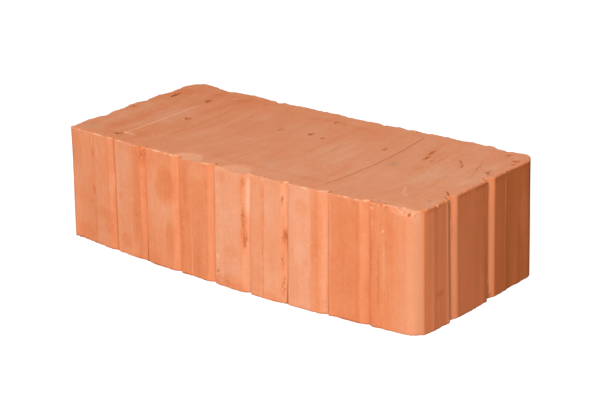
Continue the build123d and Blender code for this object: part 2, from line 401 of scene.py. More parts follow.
# Layers of noise: seed, strength, and the size of a bump in millimetres each way
upper_drag = ((11, 0.05, 1.5, 26), (12, 0.07, 3.1, 38), (13, 0.12, 9, 50))
upper_waves = ((14, 0.16, 34, 30),)
lower_drag = ((21, 0.08, 2.6, 34), (22, 0.1, 8, 50))
tone_drift = ((81, 0.7, 14, 60), (82, 0.3, 5, 40))
combed_tones = ((98, 0.3, 1.1, 80), (99, 0.12, 0.6, 60))
bed_drag_tones = ((87, 0.18, 5, 30), (94, 0.2, 7, 12))
bed_cloud_tones = ((88, 0.2, 24, 20),)

# The same round the walls: seed, strength, bumps in one turn, and their height in millimetres
wall_relief = (
    (31, 0.035, 520, 90), (32, 0.05, 210, 120), (33, 0.08, 74, 60), (34, 0.14, 40, 22),
    (35, 0.04, 190, 4), (36, 0.03, 400, 2.5),
)
wall_patches = ((86, 0.16, 70, 12), (84, 0.14, 160, 45))
# Patches of the upper rim's paleness, which is partly wear and partly painted highlight
rim_highlight_patches = ((92, 0.9, 330, 1), (95, 0.5, 90, 1))


def smooth_step(value, start, end):
    """0 up to start, 1 from end, and a smooth way between."""
    share = np.clip((value - start) / (end - start), 0, 1)
    return share * share * (3 - 2 * share)


def bell(distance, reach):
    """1 in the middle, falling smoothly to 0 at reach."""
    return np.clip(1 - (distance / reach) ** 2, 0, None) ** 2


def unit(x, y):
    """The same directions with a length of 1."""
    size = np.hypot(x, y)
    return x / size, y / size


def each_mark(by_face):
    """The rows of a table that is sorted by face, each with its face in front."""
    return [(face, *mark) for face, marks in by_face.items() for mark in marks]


def along_face(face, x, y):
    """The coordinate that runs along a face."""
    return x if face in ("front", "back") else y


def spot_distance(face, x, y, z, place, up, half_width, half_height):
    """Distance from the middle of a spot on a face, 1 at the spot's rim."""
    return np.hypot((along_face(face, x, y) - place) / half_width, (z - up) / half_height)


def noise(seed, u, v=0.0, around=noise_cells):
    """Smooth noise between -1 and 1, one bump to a unit; u closes on itself after around units."""
    u, v = np.broadcast_arrays(np.asarray(u, float), np.asarray(v, float))
    lattice = np.random.default_rng(seed).uniform(-1, 1, (around, noise_cells))
    cell_u = np.floor(u).astype(int)
    cell_v = np.floor(v).astype(int)
    share_u = smooth_step(u - cell_u, 0, 1)
    share_v = smooth_step(v - cell_v, 0, 1)

    def corner(step_u, step_v):
        return lattice[(cell_u + step_u) % around, (cell_v + step_v) % noise_cells]

    near = corner(0, 0) * (1 - share_u) + corner(1, 0) * share_u
    far = corner(0, 1) * (1 - share_u) + corner(1, 1) * share_u
    return near * (1 - share_v) + far * share_v


def layers(listed, u, v):
    """Layers of noise added up."""
    return sum(strength * noise(seed, u / size_u, v / size_v) for seed, strength, size_u, size_v in listed)


def ring_noise(seed, turn, bumps, up=0.0):
    """Noise that closes round the brick, with so many bumps in one turn."""
    return noise(seed, turn * bumps, up, around=bumps)


def ring_layers(listed, turn, z=0.0):
    """Layers of noise round the brick added up."""
    return sum(strength * ring_noise(seed, turn, bumps, z / size) for seed, strength, bumps, size in listed)


def ragged(distance, x, y, seed):
    """A distance from a mark, made uneven so that the mark's outline is ragged."""
    return distance * (1 + layers(((seed, 0.3, 0.9, 1.6), (seed + 1, 0.15, 0.4, 0.7)), x, y))


def distance_to_path(x, y, path):
    """Distance of each point from a path of straight runs."""
    nearest = np.full(np.shape(x), np.inf)
    for (x0, y0), (x1, y1) in zip(path[:-1], path[1:]):
        run_x, run_y = x1 - x0, y1 - y0
        share = np.clip(((x - x0) * run_x + (y - y0) * run_y) / (run_x**2 + run_y**2), 0, 1)
        nearest = np.minimum(nearest, np.hypot(x - x0 - share * run_x, y - y0 - share * run_y))
    return nearest


def smoothed_round(values, reach):
    """Values along the closed fine outline, blurred over reach millimetres."""
    waves = np.fft.rfftfreq(len(values), outline_step)
    kept = np.exp(-2 * (math.pi * waves * reach) ** 2)
    return np.fft.irfft(np.fft.rfft(values) * kept, len(values))


def section_outline():
    """The edge of the node's upper face as a closed loop of points, anticlockwise from above."""
    node_mesh = bmesh.new()
    node_mesh.from_mesh(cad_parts["brick"].data)
    bmesh.ops.remove_doubles(node_mesh, verts=node_mesh.verts, dist=1e-6)
    neighbours = {}
    for edge in node_mesh.edges:
        if sum(face.normal.z > 0.9 for face in edge.link_faces) == 1:
            first, second = edge.verts
            neighbours.setdefault(first, []).append(second)
            neighbours.setdefault(second, []).append(first)
    start = min(neighbours, key=lambda vertex: vertex.co.x - vertex.co.y)
    loop = [start, neighbours[start][0]]
    while loop[-1] is not start:
        one, other = neighbours[loop[-1]]
        loop.append(other if one is loop[-2] else one)
    points = np.array([vertex.co[:2] for vertex in loop[:-1]]) / MM
    node_mesh.free()
    x, y = points.T
    area = np.sum(x * np.roll(y, -1) - y * np.roll(x, -1)) / 2
    return points if area > 0 else points[::-1]


def flattened_corner(points):
    """The front right corner cut by two flats that meet in a crisp edge."""
    for degrees in corner_flats:
        facing = np.array([math.sin(math.radians(degrees)), -math.cos(math.radians(degrees))])
        beyond = np.clip((points - np.array(corner_edge)) @ facing, 0, None)
        points = points - beyond[:, None] * facing
    return points


def depth_below_string(loop, x, y):
    """Depth below a string drawn round the loop, which is the depth in a groove."""
    hull = loop[convex_hull_2d([tuple(point) for point in loop])]
    edge = np.roll(hull, -1, axis=0) - hull
    outward = np.column_stack(unit(edge[:, 1], -edge[:, 0]))
    if np.sum(outward * (hull + edge / 2)) < 0:
        outward = -outward
    sunk = np.full(len(x), np.inf)
    for corner, direction in zip(hull, outward):
        sunk = np.minimum(sunk, (corner[0] - x) * direction[0] + (corner[1] - y) * direction[1])
    return sunk


def section_columns():
    """Places round the outline for the side walls' columns, closer where the outline turns."""
    loop = flattened_corner(section_outline())
    closed = np.vstack([loop, loop[:1]])
    run = np.concatenate([[0], np.cumsum(np.hypot(*np.diff(closed, axis=0).T))])
    count = round(run[-1] / outline_step)
    along = np.arange(count) * run[-1] / count
    sharp_x, sharp_y = (np.interp(along, run, closed[:, k]) for k in (0, 1))
    at_corner = bell(np.hypot(sharp_x - corner_edge[0], sharp_y - corner_edge[1]), corner_reach)

    def softened(sharp):
        usual = smoothed_round(sharp, outline_softening)
        return usual * (1 - at_corner) + smoothed_round(sharp, corner_softening) * at_corner

    x, y = softened(sharp_x), softened(sharp_y)
    normal_x, normal_y = unit(np.roll(y, -1) - np.roll(y, 1), np.roll(x, 1) - np.roll(x, -1))
    face_x, face_y = unit(*(smoothed_round(normal, facing_softening) for normal in (normal_x, normal_y)))
    sunk = depth_below_string(loop, x, y)
    reach = round(groove_window / outline_step)
    groove_depth = np.max([np.roll(sunk, step) for step in range(-reach, reach + 1, 5)], axis=0)

    heading = np.unwrap(np.arctan2(normal_y, normal_x))
    turning = np.abs(np.gradient(heading)) / outline_step
    density = 1 / column_spacing + columns_per_turn * turning
    filled = np.concatenate([[0], np.cumsum(density) * outline_step])
    column_count = int(filled[-1])
    spots = np.interp(np.arange(column_count) * filled[-1] / column_count, filled, np.arange(count + 1))
    fields = {
        "x": x, "y": y, "normal_x": normal_x, "normal_y": normal_y, "face_x": face_x, "face_y": face_y,
        "sunk": sunk, "groove_depth": groove_depth,
    }
    columns = SimpleNamespace(along=spots * outline_step, turn=spots * outline_step / run[-1])
    for name, values in fields.items():
        setattr(columns, name, np.interp(spots, np.arange(count + 1), np.append(values, values[0])))
    columns.sunk = np.clip(columns.sunk, 0, None)

    # How far each column looks the way each face looks, and how far it belongs to that face
    columns.facing = {
        "front": -columns.face_y, "back": columns.face_y, "left": -columns.face_x, "right": columns.face_x,
    }
    columns.shares = {face: smooth_step(facing, 0.45, 0.85) for face, facing in columns.facing.items()}
    return columns


def row_heights():
    """Heights of the side walls' rows, close together at both arrises."""
    middle_start, middle_end = arris_rows[-1], height - arris_rows[-1]
    steps = round((middle_end - middle_start) / row_spacing)
    middle = np.linspace(middle_start, middle_end, steps + 1)[1:-1]
    return np.concatenate([arris_rows, middle, height - np.array(arris_rows[::-1])])


def swellings(place, listed):
    """How far a face stands out at a place along it."""
    return sum(rise * bell(place - middle, reach) for middle, reach, rise in listed)


def face_swelling(columns, z):
    """Swelling of the faces at height z, each by how much the outline looks its way."""
    upward = smooth_step(z, 0, height)
    out = 0.0
    for face, facing in columns.facing.items():
        place = along_face(face, columns.x, columns.y)
        low = stand_out[face][0] + swellings(place, low_swellings[face])
        high = stand_out[face][1] + swellings(place, high_swellings[face])
        out = out + np.clip(facing, 0, 1) ** 2 * (high * upward + low * (1 - upward))
    return out


def groove_depth_left(columns, z):
    """Share of the section's groove depth that is left at height z."""
    left = [np.full(len(columns.x), float(share)) for share in usual_depth_left]
    for face, middle, *listed in each_mark(depths_left):
        near = np.abs(along_face(face, columns.x, columns.y) - middle) < groove_reach
        for level, share in enumerate(listed):
            left[level] = np.where(near & (columns.shares[face] > 0.5), share, left[level])
    low, middle, high = left
    from_below = smooth_step(z, 0, 0.4 * height)
    to_top = smooth_step(z, 0.72 * height, height)
    return low * (1 - from_below) + middle * (from_below - to_top) + high * to_top


def drag_across(x, y):
    """Coordinate across the wire's streaks."""
    return x + drag_slant * y + drag_bow * y * y


def drag_distance(x, y, middle_x, middle_y, half_length, half_width):
    """Distance from the middle of an oval that lies along the drag, 1 at the oval's rim."""
    across = drag_across(x, y) - drag_across(middle_x, middle_y)
    return np.hypot(across / half_width, (y - middle_y) / half_length)


def pit_distance(x, y, oval):
    """Ragged distance from the middle of a pit of the upper bed."""
    return ragged(drag_distance(x, y, *oval), x, y, 17)


def facet_drop(x, y):
    """How far the tilted facets lie below the upper bed."""
    drop = np.zeros(np.shape(x))
    for middle_x, half_length, facet_width, fall, paleness in arris_facets:
        swell = nominal_swell * (2 * middle_x / length) ** 2
        arris_y = front_y + swell + (nominal_swell - swell_above)
        across = 1 - ((x - middle_x) / half_length) ** 2
        inner_y = arris_y + facet_width * np.clip(across, 0, 1) ** 0.7
        drop = np.maximum(drop, np.where(across > 0, np.clip((inner_y - y) / facet_width, 0, 1.4) * fall, 0))
    return drop


def crack_waver(x, y):
    """How far the cracks waver to the left of their paths."""
    return 0.3 * noise(16, x / 3.4, y / 2.6)


def crack_distance(x, y, path):
    """Distance from a crack."""
    return distance_to_path(x + crack_waver(x, y), y, path)


def nearest_crack(x, y):
    """Distance from the nearest crack."""
    return np.min([crack_distance(x, y, path) for path, *rest in bed_cracks], axis=0)


def crack_points():
    """Rows of points along every crack and beside it, so that it stays a fine line in the mesh."""
    rows = []
    for path, *rest in bed_cracks:
        for start, end in zip(np.array(path[:-1], float), np.array(path[1:], float)):
            run = np.hypot(*(end - start))
            along = start + np.arange(0, run, fine_bed_spacing)[:, None] * (end - start) / run
            across = crack_side * np.array([start[1] - end[1], end[0] - start[0]]) / run
            rows += [along, along + across, along - across]
    points = np.vstack(rows)
    points[:, 0] -= crack_waver(*points.T)
    return points


def upper_relief(x, y):
    """Height of the upper bed above its plane."""
    relief = layers(upper_drag, drag_across(x, y), y) + layers(upper_waves, x, y)
    for path, half_width, depth, darkness in bed_cracks:
        relief -= depth * bell(crack_distance(x, y, path), 2 * half_width)
    for *oval, depth in bed_pits:
        relief -= depth * smooth_step(pit_distance(x, y, oval), 1.0, 0.35)
    on_ridge = bell(distance_to_path(x, y, ridge_path), ridge_half_width)
    relief += ridge_height * on_ridge * smooth_step(y, 29, 14)
    relief += lump_height * bell(np.hypot(x - lump_place[0], (y - lump_place[1]) * 1.3), 2.4)
    relief -= sag_depth * bell(np.hypot(x - sag_place[0], y - sag_place[1]), sag_reach)
    return relief - facet_drop(x, y)


def lower_relief(x, y):
    """Height of the lower bed's surface above its plane; it never reaches below it."""
    return np.clip(0.12 + layers(lower_drag, drag_across(x, -y), y), 0, None)


def arris_radius(columns, seed):
    """Rounding of an arris round the brick, worn unevenly."""
    radius = 0.34 + ring_layers(((seed, 0.14, 87, 1), (seed + 1, 0.16, 290, 1)), columns.turn)
    return np.clip(radius * (1 - cleaner_right["arris"] * columns.shares["right"]), 0.12, None)


def edge_teeth(columns, seed):
    """Small torn teeth of an arris, in millimetres up and down."""
    return ring_layers(((seed, 0.16, 430, 1), (seed + 1, 0.17, 150, 1)), columns.turn)


def worn_more(columns):
    """Rounding that wear has added along the upper arris."""
    return sum(
        columns.shares[face] * more * bell(along_face(face, columns.x, columns.y) - middle, reach)
        for face, middle, reach, more in worn_arrises
    )


def worn_back(columns):
    """How far wear has drawn the front's upper arris back from each column, up to the corner's edge."""
    on_front = smooth_step(columns.facing["front"], 0.2, 0.6) * smooth_step(-columns.y, 41.5, 44.0)
    return np.interp(columns.x, *zip(*worn_front)) * on_front


def rounding(depth, radius):
    """How far a rounded arris draws a wall in at a depth from the bed."""
    share = np.clip(1 - depth / radius, 0, 1)
    return radius * (1 - np.sqrt(1 - share**2))


def side_relief(columns, z):
    """Fine relief of the side walls: die lines, shallow unevenness, combing, crumbled clay and burrs."""
    front, right = (np.clip(columns.facing[face], 0, 1) for face in ("front", "right"))
    relief = ring_layers(wall_relief, columns.turn, z)
    relief = relief * (1 - cleaner_right["relief"] * columns.shares["right"])
    combed = 0.11 * noise(37, columns.y / 1.1, z / 80) * bell(columns.y + 36, 13)
    relief = relief + combed * right * smooth_step(z, -40, height)
    crumbled = 0.3 * noise(40, columns.along / 1.1, z / 0.9, around=900) * bell(columns.x - 97, 15)
    relief = relief + crumbled * front * smooth_step(z, height - 3.5, height - 1)
    for middle, half_width, rise, broken in burrs:
        left = 1 - broken * (0.5 + 0.5 * noise(39, z / 2.4, middle))
        relief = relief + rise * left * columns.shares["right"] * bell(columns.y - middle, half_width)
    return relief


def wall_points(columns, rows):
    """Points of the side walls, row by row from the lower bed."""
    z = rows[:, None]
    at_end = columns.shares["right"] > 0.5
    narrowed = np.clip(columns.sunk - end_groove_lip, 0, None) * end_groove_stretch
    depth = np.where(at_end, narrowed, columns.sunk) * groove_depth_left(columns, z)
    outward = face_swelling(columns, z) + columns.sunk - depth
    back = worn_back(columns)
    outward -= back * np.clip(1 - (height - z) / (worn_slope * back + 0.01), 0, 1)
    outward -= rounding(height - z, arris_radius(columns, 41) + worn_more(columns))
    outward -= rounding(z, arris_radius(columns, 51))
    relief = side_relief(columns, z)
    waver = 0.22 * ring_noise(38, columns.turn, 21, z / 19)
    x = columns.x + outward * columns.face_x + relief * columns.normal_x - waver * columns.face_y
    y = columns.y + outward * columns.face_y + relief * columns.normal_y + waver * columns.face_x
    for root in end_groove_roots:
        y = y - end_groove_slide * at_end * bell(columns.y - root, slide_reach)
    near_corner = bell(np.hypot(columns.x - pulled_corner[0], columns.y - pulled_corner[1]), pull_reach)
    near_corner = near_corner * smooth_step(z, 0.2 * height, height)
    x = x + near_corner * pull[0]
    y = y + near_corner * pull[1]
    lift = smooth_step(z, height - 6, height) * (upper_relief(x, y) + edge_teeth(columns, 61))
    lift += smooth_step(z, 5, 0) * (lower_relief(x, y) + np.abs(edge_teeth(columns, 71)))
    return np.stack([x, y, z + lift], axis=-1)


def hexagonal_grid(spacing):
    """Even points over the bed's rectangle."""
    rows = np.arange(front_y, back_y, spacing * math.sqrt(3) / 2)
    steps = np.arange(left_x - 4, right_x + 4, spacing)
    x = steps[None, :] + (np.arange(len(rows)) % 2)[:, None] * spacing / 2
    y = np.broadcast_to(rows[:, None], x.shape)
    return np.column_stack([x.ravel(), y.ravel()])


def inside_ring(points, ring, clearance):
    """Which points lie inside a ring and at least clearance from it."""
    tree = KDTree(len(ring))
    for index, (x, y) in enumerate(ring):
        tree.insert((x, y, 0), index)
    tree.balance()
    clear = np.array([tree.find((x, y, 0))[2] > clearance for x, y in points])
    crossings = np.zeros(len(points), int)
    for (x0, y0), (x1, y1) in zip(ring, np.roll(ring, -1, axis=0)):
        if y0 == y1:
            continue
        spans = (points[:, 1] > y0) != (points[:, 1] > y1)
        crossings += spans & (points[:, 0] < x0 + (points[:, 1] - y0) * (x1 - x0) / (y1 - y0))
    return clear & (crossings % 2 == 1)


def near_marks(x, y):
    """Whether a point of the upper bed is close to a crack, a pit, a facet or the ridge."""
    near = (distance_to_path(x, y, ridge_path) < 1.3) | (nearest_crack(x, y) < 0.9)
    for *oval, depth in bed_pits:
        near |= drag_distance(x, y, *oval) < 1.3
    for middle_x, half_length, *rest in arris_facets:
        near |= (np.abs(x - middle_x) < half_length + 1) & (y < -42)
    return near


def bed_triangles(ring, spacing, marked):
    """Points inside a ring and the triangles of ring and points together."""
    points = hexagonal_grid(spacing)
    if marked:
        fine = hexagonal_grid(fine_bed_spacing)
        points = np.vstack([points[~near_marks(*points.T)], fine[near_marks(*fine.T)]])
        clear = nearest_crack(*points.T) > crack_side + 0.25
        points = np.vstack([points[clear], crack_points()])
    points = points[inside_ring(points, ring, 0.45 * spacing)]
    flat = [Vector(point) for point in np.vstack([ring, points])]
    sides = [(index, (index + 1) % len(ring)) for index in range(len(ring))]
    inside_only, tolerance = 1, 1e-7
    made = delaunay_2d_cdt(flat, sides, [], inside_only, tolerance)
    faces, origins = made[2], made[3]
    source = [origin[0] for origin in origins]
    return points, [[source[index] for index in face] for face in faces]


def face_point(face, place):
    """A point on a face of the plain section, and the way the face looks."""
    swell = nominal_swell * (2 * place / length) ** 2
    return {
        "front": (place, front_y + swell, 0, -1), "back": (place, back_y, 0, 1),
        "left": (left_x, place, -1, 0), "right": (right_x, place, 1, 0),
    }[face]


def chip_all(points):
    """Presses the chips of the arrises and faces in, each inwards from its face and bed."""
    for face, place, z, reach, depth, darkness in each_mark(chips):
        middle_x, middle_y, out_x, out_y = face_point(face, place)
        upright = -1 if z > height / 2 else 1
        share = 0.5 if min(z, height - z) < reach else 0
        distance = np.linalg.norm(points - np.array([middle_x, middle_y, z]), axis=1)
        inward = np.array([-out_x, -out_y, upright * share])
        points = points + depth * bell(distance, reach)[:, None] * inward
    return points


def dried(points):
    """The drying warp: the lean of the brick and the change of its swell with height."""
    x, y, z = points.T
    share = z / height
    swell_change = swell_below + (swell_above - swell_below) * share - nominal_swell
    towards_front = np.clip((back_y - y) / width, 0, 1)
    y = y - swell_change * (1 - (2 * x / length) ** 2) * towards_front
    return np.column_stack([x + lean_x * (share - 0.5), y + lean_y * (share - 0.5), z])


def clay_masks(points, columns, rows, wall_count):
    """Tone, marks and wear of the clay at every point, with painted shade and highlights among them, for the
    material.
    """
    x, y, z = points.T
    count = len(points)
    on_wall = np.arange(count) < wall_count

    def on_points(values):
        """The columns' values at the wall's points, and 0 on the beds."""
        spread = np.zeros(count)
        spread[:wall_count] = np.tile(values, len(rows))
        return spread

    turn, sunk = on_points(columns.turn), on_points(columns.sunk)
    shares = {face: on_points(share) for face, share in columns.shares.items()}
    front, right = shares["front"], shares["right"]

    # Wall tones run up the wall as the clay came through the die, with wavering edges; on the right end they
    # also hold painted shade and light
    drift = layers(tone_drift, z, x)
    wall_tone = np.zeros(count)
    for face, bands in face_tones.items():
        place = along_face(face, x, y) + drift * (face != "right")
        wall_tone += shares[face] * np.interp(place, *zip(*bands))
    wall_tone += slope_tone * smooth_step(sunk, 0.2, 0.9) * (shares["back"] + shares["left"])
    wall_tone += ring_layers(wall_patches, turn, z) * (1 - cleaner_right["patches"] * right)
    wall_tone += layers(combed_tones, y, z) * right * (0.12 + 0.95 * bell(y + 34, 13))
    # Painted shade in a band just under the right end's upper arris
    shade_under_arris = smooth_step(z, height - 3.2, height - 1.0) * right
    wall_tone -= shade_under_arris * (0.35 + 0.35 * ring_noise(96, turn, 420))
    wobble = 1 + 0.12 * noise(85, x / 4 + y / 4, z / 5)
    for face, *spot, tone in each_mark(stains):
        distance = spot_distance(face, x, y, z, *spot) * wobble
        wall_tone += shares[face] * tone * smooth_step(distance, 1.3, 0.6)
    # Painted shade along the lower arris, stronger towards the left of the front
    low_edge_shade = smooth_step(z, 1.7, 0.4) * (0.7 + 0.5 * ring_noise(89, turn, 130))
    wall_tone -= low_edge_shade * (1 + 0.5 * front * smooth_step(x, 10, -60))

    bed_tone = 0.72 + 0.32 * x / right_x - 0.3 * smooth_step(y, 0, 45)
    bed_tone += layers(bed_drag_tones, drag_across(x, y), y) + layers(bed_cloud_tones, x, y)
    for path, half_width, tone in bed_streaks:
        bed_tone += tone * bell(distance_to_path(x, y, path), 1.5 * half_width)
    on_rim = 0.5 * on_wall * smooth_step(z, height - 0.7, height - 0.1)
    tone = np.where(on_wall, wall_tone, bed_tone) * (1 - on_rim) + bed_tone * on_rim

    masks = {"tone": tone, **{name: np.zeros(count) for name in ("dark", "torn", "pale", "grey")}}

    def mark(name, strength):
        masks[name] = np.maximum(masks[name], strength)

    upper = np.where(on_wall, smooth_step(z, height - 1.5, height - 0.3), z > height / 2)
    # The same painted shade, also as dark marks at the foot of the walls
    mark("dark", 0.5 * on_wall * low_edge_shade * smooth_step(z, 1.2, 0.5))
    for path, half_width, depth, darkness in bed_cracks:
        mark("dark", darkness * bell(crack_distance(x, y, path), 2 * half_width) * upper)
    for *oval, depth in bed_pits:
        mark("dark", min(1, 1.2 * depth) * smooth_step(pit_distance(x, y, oval), 1.35, 0.5) * upper)
    for *oval, strength in grey_smudges:
        mark("grey", strength * bell(drag_distance(x, y, *oval), 1) * upper)
    for path, half_width, strength in pale_marks:
        mark("pale", strength * bell(distance_to_path(x, y, path), half_width) * upper)
    on_ridge = bell(distance_to_path(x, y, ridge_path), ridge_half_width) * upper
    mark("pale", 0.78 * on_ridge * smooth_step(y, 30, 14) * (0.75 + 0.25 * noise(90, x / 3, y / 4)))
    mark("pale", 0.85 * bell(np.hypot(x - lump_place[0], y - lump_place[1]), 2.3) * upper)
    for middle_x, half_length, facet_width, fall, paleness in arris_facets:
        on_facet = smooth_step(np.abs(x - middle_x), half_length + 1, half_length - 1)
        mark("pale", paleness * on_facet * smooth_step(facet_drop(x, y), 0.02, 0.3) * upper)

    for face, *spot, strength in each_mark(torn_patches):
        mark("torn", strength * smooth_step(spot_distance(face, x, y, z, *spot), 1.3, 0.4) * shares[face])
    for face, place, up, radius, strength in each_mark(pale_specks):
        distance = spot_distance(face, x, y, z, place, up, radius, radius)
        mark("pale", strength * bell(distance, 1) * shares[face])
    uneven = 0.8 + 0.4 * noise(91, z / 2.2, x / 9 + y / 9)
    for face, path, half_width, darkness in each_mark(face_lines):
        line = bell(distance_to_path(along_face(face, x, y), z, path), half_width + 0.35)
        if darkness > 0:
            mark("dark", 0.6 * darkness * line * shares[face] * uneven)
        else:
            mark("pale", -darkness * line * shares[face] * uneven)
    for face, place, up, reach, depth, darkness in each_mark(chips):
        middle_x, middle_y, out_x, out_y = face_point(face, place)
        distance = np.sqrt((x - middle_x) ** 2 + (y - middle_y) ** 2 + (z - up) ** 2) / reach
        mark("dark", darkness * smooth_step(ragged(distance, x + y, z, 93), 0.95, 0.4))

    # Painted shade where the outline turns down into a groove's near-upright wall, eased towards the left of
    # the front
    turned = on_points(columns.normal_x * columns.face_y - columns.normal_y * columns.face_x)
    into_wall = np.where((front + shares["left"] > 0.5) & (right <= 0.5), turned, -turned)
    wall_shade = smooth_step(into_wall, 0.2, 0.6) * smooth_step(on_points(columns.groove_depth), 0.8, 1.4)
    wall_shade_eased = 0.6 * front * smooth_step(x, -62, -70) * (0.4 + 0.6 * smooth_step(z, 5, 45))
    past_lip = np.where(right > 0.5, smooth_step(sunk, 0.15, 0.5), smooth_step(sunk, 0.003, 0.04))
    mark("dark", 0.75 * wall_shade * (1 - wall_shade_eased) * past_lip)
    # Painted shade at the roots of the front's grooves
    mark("dark", 0.4 * smooth_step(sunk, 1.5, 2.1) * front)

    # A paler rim along the upper arris: partly worn clay, partly painted highlight where the rounding
    # catches the light
    rim = smooth_step(z, height - 0.9, height - 0.4) * on_wall
    patches = np.clip(0.35 + ring_layers(rim_highlight_patches, turn), 0, 1)
    mark("pale", 0.6 * rim * patches * (1 - cleaner_right["rim"] * right))
    worn = on_points(worn_back(columns))
    worn_down_to = height - worn_slope * worn
    on_worn = smooth_step(z, worn_down_to - 0.3, worn_down_to + 0.3) * (worn > 0.2)
    mark("pale", 0.24 * on_worn * np.clip(0.6 + 0.9 * ring_noise(97, turn, 380, z / 1.2), 0, 1))
    # Painted grey shade up the front right corner
    mark("grey", corner_shade * bell(y - corner_shade_y, corner_shade_reach) * smooth_step(x, 100, 104) * on_wall)
    cut = np.where(on_wall, 0.0, 1.0)
    coarser = 0.7 * smooth_step(x, -60, -90) + 0.3 * smooth_step(x, 50, 90)
    masks["grain"] = 1 - cleaner_right["grain"] * right + cut * coarser
    masks["cut"] = cut
    return masks


def new_object(name, data):
    """An object of the scene that holds a mesh, a lamp or a camera."""
    made = bpy.data.objects.new(name, data)
    bpy.context.scene.collection.objects.link(made)
    return made


def build_brick():
    """The whole brick as one closed mesh in metres."""
    columns = section_columns()
    rows = row_heights()
    wall = wall_points(columns, rows)
    around, up = len(columns.x), len(rows)
    wall_index = np.arange(around * up).reshape(up, around)
    following = np.roll(wall_index, -1, axis=1)
    quads = np.stack([wall_index[:-1], following[:-1], following[1:], wall_index[1:]], axis=-1)
    faces = quads.reshape(-1, 4).tolist()
    points = wall.reshape(-1, 3)
    for row, spacing, relief, is_upper in (
        (up - 1, upper_bed_spacing, upper_relief, True),
        (0, lower_bed_spacing, lower_relief, False),
    ):
        inner, triangles = bed_triangles(wall[row, :, :2], spacing, marked=is_upper)
        source = np.concatenate([wall_index[row], len(points) + np.arange(len(inner))])
        inner_z = height * is_upper + relief(*inner.T)
        points = np.vstack([points, np.column_stack([inner, inner_z])])
        for triangle in triangles:
            corners = source[triangle].tolist()
            faces.append(corners if is_upper else corners[::-1])
    masks = clay_masks(points, columns, rows, around * up)
    points = dried(chip_all(points))
    points[:, 2] = np.clip(points[:, 2], 0, None)

    mesh = bpy.data.meshes.new("fired_brick")
    mesh.from_pydata((points * MM).tolist(), [], faces)
    mesh.polygons.foreach_set("use_smooth", np.ones(len(mesh.polygons), bool))
    for name, values in masks.items():
        attribute = mesh.attributes.new("clay_" + name, "FLOAT", "POINT")
        attribute.data.foreach_set("value", values.astype(np.float32))
    mesh.update()
    mesh.validate()
    return new_object("fired_brick", mesh)


class Shading:
    """Short ways to add nodes to a material or a world."""

    def __init__(self, owner):
        self.owner = owner
        owner.use_nodes = True
        self.tree = owner.node_tree
        self.tree.nodes.clear()

    def add(self, kind, inputs=None, **settings):
        """A node with its settings, and its inputs set to values or linked to sockets."""
        node = self.tree.nodes.new("ShaderNode" + kind)
        for name, value in settings.items():
            setattr(node, name, value)
        for name, value in (inputs or {}).items():
            if isinstance(value, bpy.types.NodeSocket):
                self.tree.links.new(value, node.inputs[name])
            else:
                node.inputs[name].default_value = value
        return node

    def times(self, first, second, clamped=False):
        return self.add("Math", {0: first, 1: second}, operation="MULTIPLY", use_clamp=clamped).outputs[0]

    def plus(self, first, second, clamped=False):
        return self.add("Math", {0: first, 1: second}, operation="ADD", use_clamp=clamped).outputs[0]

    def noise(self, coordinates, sizes, detail=2, roughness=0.5):
        """Noise between about -1 and 1 whose bumps have the given sizes in millimetres."""
        scale = [1 / (size * MM) for size in sizes]
        vector = self.add("Mapping", {"Vector": coordinates, "Scale": scale}).outputs[0]
        limits = {"Vector": vector, "Scale": 1, "Detail": detail, "Roughness": roughness}
        return self.scale(self.add("TexNoise", limits).outputs[0], 0.25, 0.75, -1, 1)

    def blend(self, share, first, second):
        """A colour that goes from first to second as share goes from 0 to 1."""
        return self.add("Mix", {0: share, 6: first, 7: second}, data_type="RGBA").outputs[2]

    def scale(self, value, start, end, low=0, high=1):
        """A value between start and end turned into one between low and high."""
        limits = {"Value": value, "From Min": start, "From Max": end, "To Min": low, "To Max": high}
        return self.add("MapRange", limits).outputs[0]

    def shades(self, value, colours):
        """Colours spread evenly over a value from 0 to 1."""
        node = self.add("ValToRGB", {"Fac": value})
        elements = node.color_ramp.elements
        for index, colour in enumerate(colours):
            place = index / (len(colours) - 1)
            element = elements[index] if index < len(elements) else elements.new(place)
            element.position = place
            element.color = colour
        return node.outputs[0]


burnt_orange = (0.50, 0.129, 0.036, 1)
deep_orange = (0.70, 0.206, 0.081, 1)
clay_orange = (0.755, 0.262, 0.118, 1)
pale_pink = (0.785, 0.326, 0.177, 1)
chalky_pink = (0.81, 0.400, 0.247, 1)
# Brown of pits and of painted shade
pit_and_shade_brown = (0.30, 0.075, 0.022, 1)
torn_brown = (0.54, 0.142, 0.050, 1)
# Pale of dust and worn clay, and of painted highlights
pale_dust_and_highlight = (0.92, 0.520, 0.330, 1)
smudge_grey = (0.42, 0.240, 0.150, 1)


